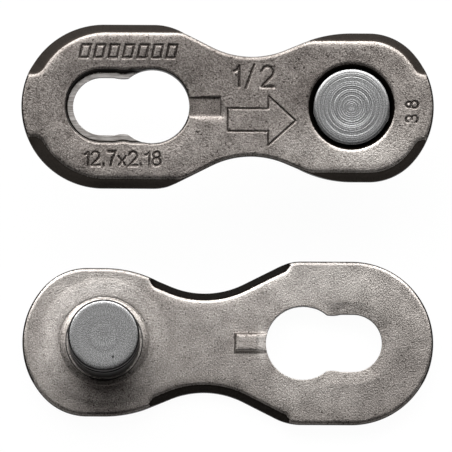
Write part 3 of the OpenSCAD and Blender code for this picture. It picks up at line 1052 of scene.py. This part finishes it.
def rounded(a, b, c, size, count):
    """Points of a profile's corner b between a and c: a quadratic curve from a size before it
    to the same size behind it."""
    a, b, c = np.array([a, b, c])
    start = b + (a - b) / np.hypot(*(a - b)) * size
    stop = b + (c - b) / np.hypot(*(c - b)) * size
    t = np.linspace(0, 1, count)[:, None]
    return ((1 - t) ** 2 * start + 2 * t * (1 - t) * b + t ** 2 * stop).tolist()


def pin_profile():
    """Profile of the pin from the middle of its tip, over head, neck, shaft and pressed seat, to
    the middle of its turned end, with every corner rounded."""
    table = [[0, TIP_Z]] + [[r, TIP_Z] for r in np.linspace(0.15, SHAFT_R - 0.26, 16)]
    table += [[SHAFT_R - 0.20, TIP_Z + 0.002], [SHAFT_R - 0.14, TIP_Z + 0.009],
              [SHAFT_R - 0.095, TIP_Z + 0.02]]
    bends = [(SHAFT_R - 0.095, TIP_Z + 0.02), (SHAFT_R, TIP_Z + 0.09), (SHAFT_R, NECK_Z),
             (NECK_R, NECK_Z), (NECK_R, NECK_TOP_Z), (SHAFT_R, NECK_TOP_Z), (SHAFT_R, -COLLAR_H),
             (PRESS_R - PRESS_TAPER, -COLLAR_H), (PRESS_R, THICK - 0.16), (PRESS_R, THICK),
             (0.5, THICK)]
    sizes = [0.05, 0.03, 0.03, 0.03, 0.03, 0.004, 0.004, 0.01, 0.15]
    for i, size in enumerate(sizes):
        table += rounded(*bends[i:i + 3], size, 7 if size > 0.05 else 4)
    ends = np.linspace(PRESS_R - 0.18, 0.03, 150)
    rings = 0.0016 * np.sin(ends * 2 * np.pi / 0.105) * np.clip((PRESS_R - 0.17 - ends) / 0.1, 0, 1)
    table += [[r, THICK - 0.001 + h] for r, h in zip(ends, rings)]
    return table + [[0, THICK]]


def turned_steel():
    """Bare turned steel: grey with the fine rings that the cutting tool left."""
    material, tree, shader, place = steel("turned_steel_pin", "#8a8a8a", 0.37)
    grain = noise(tree, place, 0.05, 3.0)
    rings = turning_rings(tree, 0.02, 1 / 21, 3.0)
    tint(tree, shader, mixed(tree, 0.42, rings, grain),
         [(0.36, "#424343"), (0.5, "#8a8a8a"), (0.64, "#dadada")])
    first = bump(tree, shader, rings, 0.012, 0.8)
    bump(tree, shader, grain, 0.004, 0.6, first)
    return material


# Place of one small pit in the lower pin's tip.
PIT = (-5.80 * MM, -6.95 * MM, 5.6 * MM)


def ground_steel():
    """The tip, ground flat: grey with an even grain, faint broad rings and one small dark pit."""
    material, tree, shader, place = steel("ground_steel_tip", "#8e8e8e", 0.40)
    grain = noise(tree, place, 0.05, 3.0, 0.7)
    rings = turning_rings(tree, 0.1, 1 / 3, 2.0)
    away = add(tree, "ShaderNodeVectorMath", [(0, place), (1, PIT)], operation="DISTANCE")
    pit = mapped(tree, away.outputs["Value"], 0.04 * MM, 0.08 * MM, -0.4, 0.0)
    tint(tree, shader, maths(tree, "ADD", mixed(tree, 0.13, grain, rings), pit),
         [(0.34, "#4c4c4c"), (0.5, "#8e8e8e"), (0.66, "#d0d0d0")])
    bump(tree, shader, grain, 0.006, 0.8)
    return material


def painted_shade_shaft():
    """Side of the pin: painted dark grey as the shade of its upright side."""
    material, tree, shader, place = steel("shaft_painted_shade", "#2d2c2c", 0.4)
    tint(tree, shader, noise(tree, place, 0.06, 2.0), [(0.3, "#232222"), (0.7, "#393737")])
    return material


# The last finish is for the small step up to the pressed seat, which shows inside the collar.
PIN_FINISHES = [turned_steel(), painted_shade_shaft(), ground_steel(), PLATE_FINISHES[FACE]]
TURNED, SHAFT, TIP, STEP = range(4)
points, normals, tris, quads = turned(pin_profile(), 144)
x, y, heights = points[np.concatenate([tris[:, 1], quads[:, 0]])].T
radii = np.hypot(x, y)
kinds = np.where((heights > TIP_Z + 0.015) & (heights < THICK - 0.1) & (radii > 1.2), SHAFT,
                 np.where(heights < 0, TIP, TURNED))
kinds[(heights > -COLLAR_H - 0.03) & (heights < 0.2) & (radii < PRESS_R - 0.03)] = STEP
x, y = points[:, 0], points[:, 1]
turning = np.stack([np.hypot(x, y), np.sin(np.arctan2(y, x))], 1)
points = points + [PIN_X, 0, 0]
for name, half, node in (("pin_of_upper_half", UPPER, "upper_pin"),
                         ("pin_of_lower_half", LOWER, "lower_pin")):
    put_mesh(name, half, points, normals, tris, quads, kinds, PIN_FINISHES, node,
             np.full(len(points), 0.6), turning)


# Floor, light and camera.
def floor():
    """A plain pale floor: a disc of rings 3 m across, just under the parts. The camera and
    reflections see it as a nearly even white."""
    around = 96
    a = np.linspace(0, 2 * np.pi, around, endpoint=False)
    r = np.array([0.02, 0.1, 0.4, 1.5])
    ring = np.stack([np.cos(a), np.sin(a), np.zeros(around)], 1)
    points = np.concatenate([(r[:, None, None] * ring[None]).reshape(-1, 3), [[0, 0, 0]]])
    points[:, 2] = -0.00002
    rows = np.arange(len(r) * around).reshape(-1, around)
    nxt = np.roll(rows, -1, 1)
    quads = np.stack([rows[:-1], rows[1:], nxt[1:], nxt[:-1]], -1).reshape(-1, 4)
    tris = np.stack([np.full(around, len(points) - 1), rows[0], nxt[0]], 1)
    mesh = bpy.data.meshes.new("floor")
    mesh.from_pydata(points.tolist(), [], tris.tolist() + quads.tolist())
    material, tree, shader = start_material("pale_paper", "#f4f4f3", 0.9)
    shader.inputs["Specular IOR Level"].default_value = 0.1
    rays = add(tree, "ShaderNodeLightPath").outputs
    seen = maths(tree, "MAXIMUM", rays["Is Camera Ray"], rays["Is Glossy Ray"])
    seen = maths(tree, "MAXIMUM", seen, rays["Is Transmission Ray"])
    white = add(tree, "ShaderNodeEmission", [("Color", colour("#ffffff")), ("Strength", 1.0)])
    mix = add(tree, "ShaderNodeMixShader", [(0, maths(tree, "MULTIPLY", seen, 0.97)),
                                            (1, shader.outputs[0]), (2, white.outputs[0])])
    tree.links.new(mix.outputs[0], tree.nodes["Material Output"].inputs["Surface"])
    mesh.materials.append(material)
    disc = bpy.data.objects.new("floor", mesh)
    bpy.context.scene.collection.objects.link(disc)


floor()


def softbox(name, place, width, depth, power):
    """A soft light that faces the middle of the parts and isn't seen by the camera."""
    light = bpy.data.lights.new(name, "AREA")
    light.shape = "RECTANGLE"
    light.size = width
    light.size_y = depth
    light.energy = power
    lamp = bpy.data.objects.new(name, light)
    lamp.location = place
    lamp.rotation_euler = Vector(place).to_track_quat("Z", "Y").to_euler()
    lamp.visible_camera = False
    bpy.context.scene.collection.objects.link(lamp)


softbox("key_softbox", (-0.03, 0.32, 0.23), 0.66, 0.20, 2.25)
softbox("top_softbox", (-0.02, 0.24, 0.34), 0.84, 0.22, 2.9)

world = bpy.data.worlds.new("studio")
world.use_nodes = True
bpy.context.scene.world = world
sky = world.node_tree
background = sky.nodes["Background"]
background.inputs["Color"].default_value = colour("#ffffff")
# The studio's walls: paler towards the horizon, dark overhead.
way = add(sky, "ShaderNodeTexCoord").outputs["Generated"]
height = add(sky, "ShaderNodeSeparateXYZ", [(0, way)]).outputs["Z"]
sky.links.new(mapped(sky, height, 0.27, 0.62, 0.60, 0.02), background.inputs["Strength"])

# The camera's distance and the width it shows there in metres, and its angles in degrees.
DISTANCE = 1.0
FRAME_WIDTH = 0.02306
ELEVATION = 85.35
ROLL = 0.28
camera_data = bpy.data.cameras.new("camera")
camera_data.sensor_width = 36.0
camera_data.lens = 36.0 * DISTANCE / FRAME_WIDTH
camera_data.clip_start = 0.05
camera_data.clip_end = 5.0
camera = bpy.data.objects.new("camera", camera_data)
target = Vector((-0.000085, 0.000030, 0.002))
tilt = np.radians(90 - ELEVATION)
camera.location = target + Vector((0, -np.sin(tilt), np.cos(tilt))) * DISTANCE
roll_turn = Euler((0, 0, np.radians(ROLL))).to_matrix()
camera.rotation_euler = (Euler((tilt, 0, 0)).to_matrix() @ roll_turn).to_euler()
bpy.context.scene.collection.objects.link(camera)
bpy.context.scene.camera = camera
bpy.context.scene.view_settings.view_transform = "Standard"
